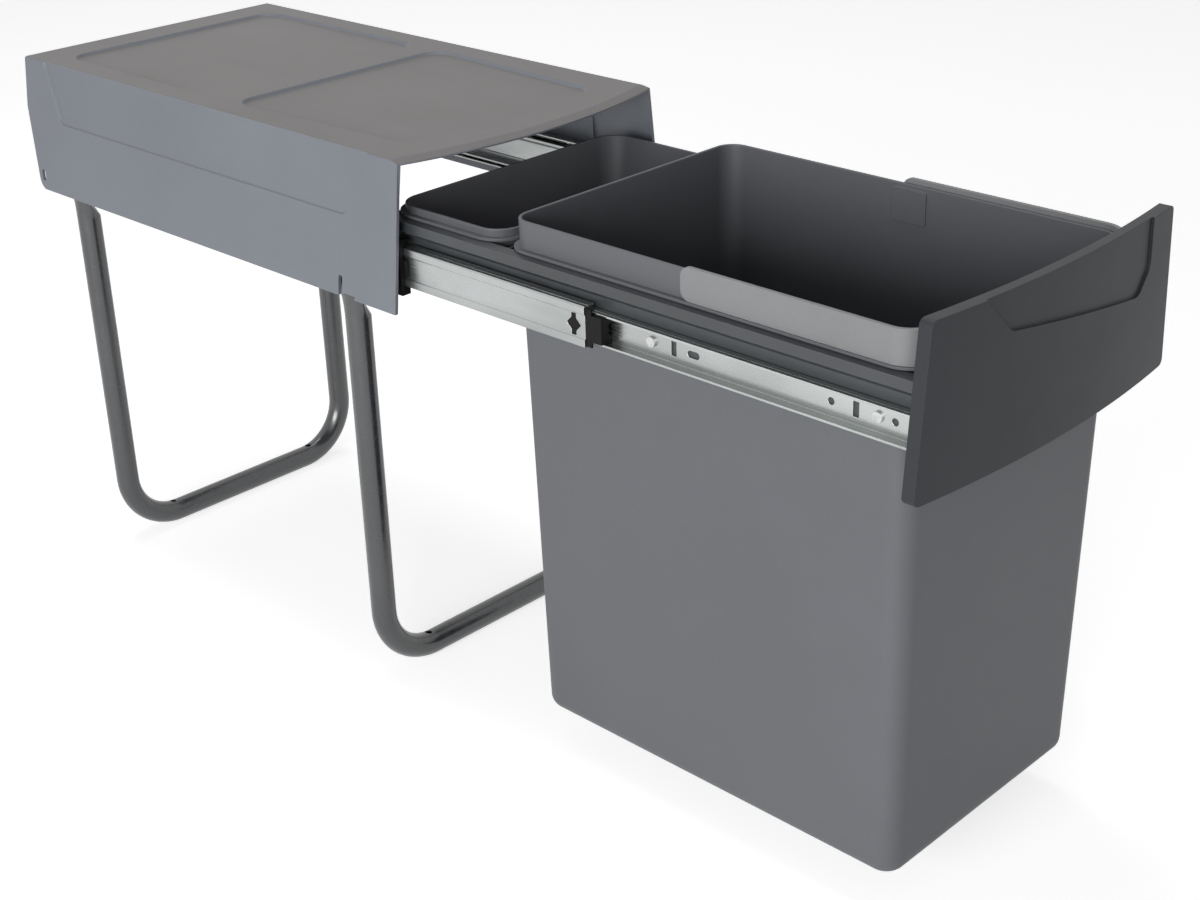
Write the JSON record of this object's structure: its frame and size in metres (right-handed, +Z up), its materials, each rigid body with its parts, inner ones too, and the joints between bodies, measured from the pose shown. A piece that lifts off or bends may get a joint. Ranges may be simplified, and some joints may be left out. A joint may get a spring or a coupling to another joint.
{
  "type": "built-in waste bin",
  "caption": "Built-in pull-out waste bin: lidded housing on tube legs with ball-bearing slides that carry a framed front, a large lift-out bin with bail handle and a shallow bin.",
  "frame": {"origin": "middle of the four floor screw holes in the legs, on the cabinet floor", "axes": "+X to the right seen from the front, +Y to the back of the cabinet, +Z up; stored with the drawer fully open"},
  "size_m": [0.256, 0.855, 0.403],
  "materials": {
    "housing_grey": "fine-grained moulded plastic",
    "panel_grey": "fine-grained moulded plastic, darker",
    "bin_grey": "fine-grained moulded plastic",
    "handle_grey": "smooth moulded plastic",
    "black_plastic": "matt black plastic",
    "leg_paint": "satin powder coat",
    "frame_paint": "satin powder coat",
    "rail_steel": "bright zinc",
    "cage_steel": "plain pressed strip, greased",
    "ball_steel": "polished",
    "screw_steel": "bright zinc"
  },
  "bodies": {
    "housing": {"lid_housing": "housing_grey", "leg_front": "leg_paint", "leg_rear": "leg_paint", "rail_outer_left": "rail_steel", "rail_outer_right": "rail_steel", "rail_end_left": "black_plastic", "rail_end_right": "black_plastic", "leg_rivets": "screw_steel"},
    "mid_left": {"rail_mid_left": "rail_steel", "rail_bumper_left": "black_plastic"},
    "mid_right": {"rail_mid_right": "rail_steel", "rail_bumper_right": "black_plastic"},
    "cage_outer_left": {"ball_cage_outer_left": "cage_steel", "balls_outer_left": "ball_steel"},
    "cage_outer_right": {"ball_cage_outer_right": "cage_steel", "balls_outer_right": "ball_steel"},
    "cage_inner_left": {"ball_cage_inner_left": "cage_steel", "balls_inner_left": "ball_steel"},
    "cage_inner_right": {"ball_cage_inner_right": "cage_steel", "balls_inner_right": "ball_steel"},
    "drawer": {"rail_inner_left": "rail_steel", "rail_inner_right": "rail_steel", "frame_side_left": "frame_paint", "frame_side_right": "frame_paint", "frame_cross_rear": "frame_paint", "frame_cross_mid": "frame_paint", "frame_cross_front": "frame_paint", "frame_screws_left": "screw_steel", "frame_screws_right": "screw_steel", "front_panel": "panel_grey", "panel_screws": "screw_steel"},
    "bin_large": {"bin_large": "bin_grey"},
    "bin_handle": {"bin_handle": "handle_grey"},
    "bin_small": {"bin_small": "bin_grey"}
  },
  "joints": [
    {"name": "stage_outer_left", "type": "slide", "parent": "housing", "child": "mid_left", "axis": [0, -1, 0], "range_m": [-0.167, 0]},
    {"name": "stage_outer_right", "type": "slide", "parent": "housing", "child": "mid_right", "axis": [0, -1, 0], "range_m": [-0.167, 0]},
    {"name": "outer_cage_left_roll", "type": "slide", "parent": "housing", "child": "cage_outer_left", "axis": [0, -1, 0], "range_m": [-0.0835, 0]},
    {"name": "outer_cage_right_roll", "type": "slide", "parent": "housing", "child": "cage_outer_right", "axis": [0, -1, 0], "range_m": [-0.0835, 0]},
    {"name": "stage_inner", "type": "slide", "parent": "mid_left", "child": "drawer", "axis": [0, -1, 0], "range_m": [-0.228, 0]},
    {"name": "inner_cage_left_roll", "type": "slide", "parent": "mid_left", "child": "cage_inner_left", "axis": [0, -1, 0], "range_m": [-0.114, 0]},
    {"name": "inner_cage_right_roll", "type": "slide", "parent": "mid_right", "child": "cage_inner_right", "axis": [0, -1, 0], "range_m": [-0.114, 0]},
    {"name": "large_bin_lift", "type": "slide", "parent": "drawer", "child": "bin_large", "axis": [0, 0, 1], "range_m": [0, 0.36]},
    {"name": "handle_swing", "type": "hinge", "parent": "bin_large", "child": "bin_handle", "pos_m": [0, -0.459, 0.3743], "axis": [-1, 0, 0], "range_deg": [0, 180]},
    {"name": "small_bin_lift", "type": "slide", "parent": "drawer", "child": "bin_small", "axis": [0, 0, 1], "range_m": [0, 0.02]}
  ],
  "couplings": [
    {"joint": "stage_outer_right", "follows": "stage_outer_left", "ratio": 1},
    {"joint": "outer_cage_left_roll", "follows": "stage_outer_left", "ratio": 0.5},
    {"joint": "outer_cage_right_roll", "follows": "stage_outer_left", "ratio": 0.5},
    {"joint": "inner_cage_left_roll", "follows": "stage_inner", "ratio": 0.5},
    {"joint": "inner_cage_right_roll", "follows": "stage_inner", "ratio": 0.5}
  ]
}
